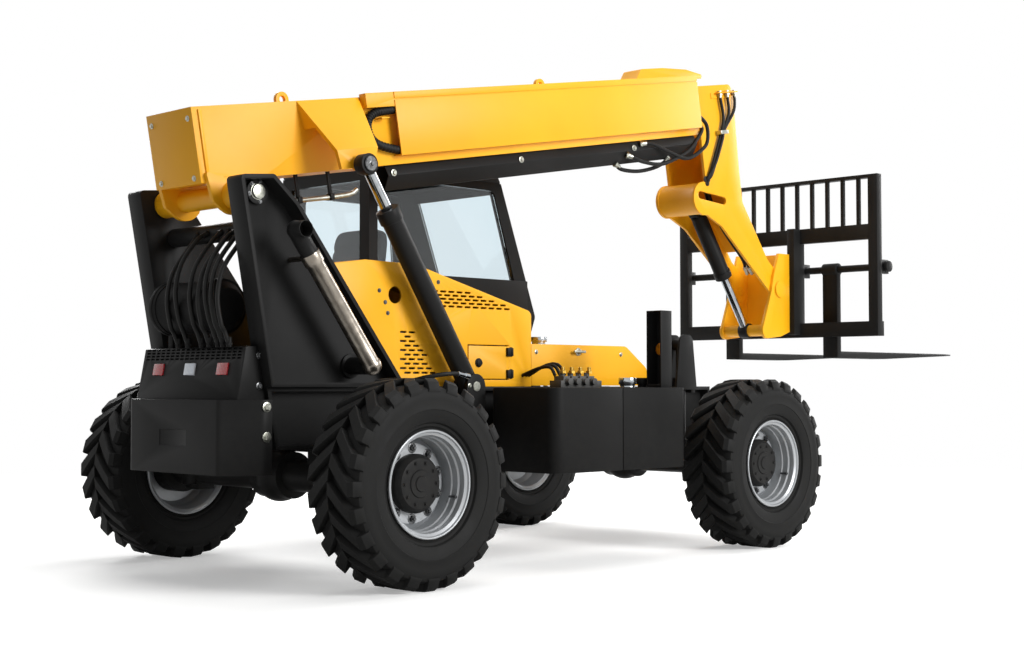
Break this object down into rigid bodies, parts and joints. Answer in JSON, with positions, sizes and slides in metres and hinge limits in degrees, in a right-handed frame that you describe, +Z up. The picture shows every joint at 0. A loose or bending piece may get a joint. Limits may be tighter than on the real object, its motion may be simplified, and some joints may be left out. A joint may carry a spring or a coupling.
{
  "type": "telehandler",
  "caption": "Rough-terrain telescopic handler with steered wheels, side cab, telescoping lift boom and tilting pallet fork carriage.",
  "frame": {"origin": "on the ground, below the middle of the machine's box", "axes": "+X forward, +Y to the machine's left, +Z up"},
  "size_m": [7.0318, 2.46, 3.1534],
  "materials": {
    "black_paint": "satin",
    "yellow_paint": "gloss",
    "rim_silver": "satin",
    "zinc_pin": "satin",
    "lamp_lens": "gloss",
    "cast_iron": "matte",
    "chrome": "polished",
    "clear_glass": "clear",
    "cab_trim": "matte",
    "black_poly": "matte",
    "tyre_rubber": "matte"
  },
  "bodies": {
    "chassis": {"frame_left": "black_paint", "frame_right": "black_paint", "cross_members": "black_paint", "boom_pin": "zinc_pin", "counterweight": "black_paint", "tail_panel": "black_paint", "lamps": "lamp_lens", "engine": "cast_iron", "air_cleaner": "black_poly", "exhaust": "chrome", "hood": "yellow_paint", "tank": "black_poly", "valve_block": "cast_iron", "light_guard": "black_paint", "axles": "black_paint", "levelling_cylinder": "black_paint", "cab_base": "black_poly", "cab_shell": "black_paint", "cab_roof": "black_paint", "cab_glass": "clear_glass", "seat": "cab_trim", "steering_wheel": "cab_trim"},
    "service_door": {"service_door": "yellow_paint"},
    "front_lid": {"front_lid": "yellow_paint"},
    "cab_door": {"cab_door": "black_paint", "door_glass": "clear_glass"},
    "boom": {"boom_outer": "yellow_paint", "boom_cover": "yellow_paint", "hose_tray": "black_paint"},
    "boom_mid": {"boom_mid": "yellow_paint"},
    "boom_inner": {"boom_inner": "yellow_paint", "neck": "yellow_paint"},
    "lift_barrels": {"lift_barrels": "black_paint"},
    "lift_rods": {"lift_rods": "chrome"},
    "tilt_barrel": {"tilt_barrel": "black_paint"},
    "tilt_rod": {"tilt_rod": "chrome"},
    "carriage": {"coupler": "yellow_paint", "carriage": "black_paint"},
    "fork_left": {"fork_left": "black_paint"},
    "fork_right": {"fork_right": "black_paint"},
    "front_left_knuckle": {"knuckle_front_left": "black_paint"},
    "front_left_wheel": {"rim_front_left": "rim_silver", "tyre_front_left": "tyre_rubber"},
    "front_right_knuckle": {"knuckle_front_right": "black_paint"},
    "front_right_wheel": {"rim_front_right": "rim_silver", "tyre_front_right": "tyre_rubber"},
    "rear_left_knuckle": {"knuckle_rear_left": "black_paint"},
    "rear_left_wheel": {"rim_rear_left": "rim_silver", "tyre_rear_left": "tyre_rubber"},
    "rear_right_knuckle": {"knuckle_rear_right": "black_paint"},
    "rear_right_wheel": {"rim_rear_right": "rim_silver", "tyre_rear_right": "tyre_rubber"}
  },
  "joints": [
    {"name": "front_left_steer", "type": "hinge", "parent": "chassis", "child": "front_left_knuckle", "pos_m": [0.03643, 0.82, 0.515], "axis": [0, 0, 1], "range_deg": [-35, 35]},
    {"name": "front_left_spin", "type": "hinge", "parent": "front_left_knuckle", "child": "front_left_wheel", "pos_m": [0.03643, 1.045, 0.515], "axis": [0, 1, 0], "continuous": true},
    {"name": "front_right_steer", "type": "hinge", "parent": "chassis", "child": "front_right_knuckle", "pos_m": [0.03643, -0.82, 0.515], "axis": [0, 0, 1], "range_deg": [-35, 35]},
    {"name": "front_right_spin", "type": "hinge", "parent": "front_right_knuckle", "child": "front_right_wheel", "pos_m": [0.03643, -1.045, 0.515], "axis": [0, 1, 0], "continuous": true},
    {"name": "rear_left_steer", "type": "hinge", "parent": "chassis", "child": "rear_left_knuckle", "pos_m": [-2.79357, 0.82, 0.515], "axis": [0, 0, 1], "range_deg": [-35, 35]},
    {"name": "rear_left_spin", "type": "hinge", "parent": "rear_left_knuckle", "child": "rear_left_wheel", "pos_m": [-2.79357, 1.045, 0.515], "axis": [0, 1, 0], "continuous": true},
    {"name": "rear_right_steer", "type": "hinge", "parent": "chassis", "child": "rear_right_knuckle", "pos_m": [-2.79357, -0.82, 0.515], "axis": [0, 0, 1], "range_deg": [-35, 35]},
    {"name": "rear_right_spin", "type": "hinge", "parent": "rear_right_knuckle", "child": "rear_right_wheel", "pos_m": [-2.79357, -1.045, 0.515], "axis": [0, 1, 0], "continuous": true},
    {"name": "boom_lift", "type": "hinge", "parent": "chassis", "child": "boom", "pos_m": [-3.27357, 0, 1.96], "axis": [0, -1, 0], "range_deg": [-13, 60]},
    {"name": "boom_extend_mid", "type": "slide", "parent": "boom", "child": "boom_mid", "axis": [0.9848, 0, 0.1736], "range_m": [0, 2.3]},
    {"name": "boom_extend_inner", "type": "slide", "parent": "boom_mid", "child": "boom_inner", "axis": [0.9848, 0, 0.1736], "range_m": [0, 2.3]},
    {"name": "fork_tilt", "type": "hinge", "parent": "boom_inner", "child": "carriage", "pos_m": [1.54094, 0, 1.69297], "axis": [0, 1, 0], "range_deg": [-25, 60]},
    {"name": "lift_barrel_swing", "type": "hinge", "parent": "chassis", "child": "lift_barrels", "pos_m": [-1.87357, 0, 0.987], "axis": [0, -1, 0], "range_deg": [-1, 3]},
    {"name": "lift_rod_slide", "type": "slide", "parent": "lift_barrels", "child": "lift_rods", "axis": [-0.5418, 0, 0.8405], "range_m": [-0.15, 0.68]},
    {"name": "tilt_barrel_swing", "type": "hinge", "parent": "boom_inner", "child": "tilt_barrel", "pos_m": [0.81853, 0, 2.21953], "axis": [0, 1, 0], "range_deg": [-2, 4]},
    {"name": "tilt_rod_slide", "type": "slide", "parent": "tilt_barrel", "child": "tilt_rod", "axis": [0.5713, 0, -0.8208], "range_m": [-0.34, 0.15]},
    {"name": "cab_door_swing", "type": "hinge", "parent": "chassis", "child": "cab_door", "pos_m": [-1.85657, 1.163, 1.7], "axis": [0, 0, 1], "range_deg": [0, 90]},
    {"name": "front_lid_lift", "type": "hinge", "parent": "chassis", "child": "front_lid", "pos_m": [-1.24727, 0, 1.249], "axis": [0, -1, 0], "range_deg": [0, 55]},
    {"name": "service_door_swing", "type": "hinge", "parent": "chassis", "child": "service_door", "pos_m": [-1.44787, -0.397, 1.125], "axis": [0, 0, 1], "range_deg": [0, 100]},
    {"name": "fork_left_slide", "type": "slide", "parent": "carriage", "child": "fork_left", "axis": [0, 1, 0], "range_m": [-0.13, 0.3]},
    {"name": "fork_right_slide", "type": "slide", "parent": "carriage", "child": "fork_right", "axis": [0, 1, 0], "range_m": [-0.3, 0.13]}
  ],
  "couplings": [
    {"joint": "front_right_steer", "follows": "front_left_steer", "ratio": 1},
    {"joint": "rear_right_steer", "follows": "rear_left_steer", "ratio": 1},
    {"joint": "boom_extend_inner", "follows": "boom_extend_mid", "ratio": 1},
    {"joint": "lift_barrel_swing", "follows": "boom_lift", "ratio": 0.04},
    {"joint": "lift_rod_slide", "follows": "boom_lift", "m_per_rad": 0.632},
    {"joint": "tilt_barrel_swing", "follows": "fork_tilt", "ratio": 0.05},
    {"joint": "tilt_rod_slide", "follows": "fork_tilt", "m_per_rad": -0.31}
  ]
}
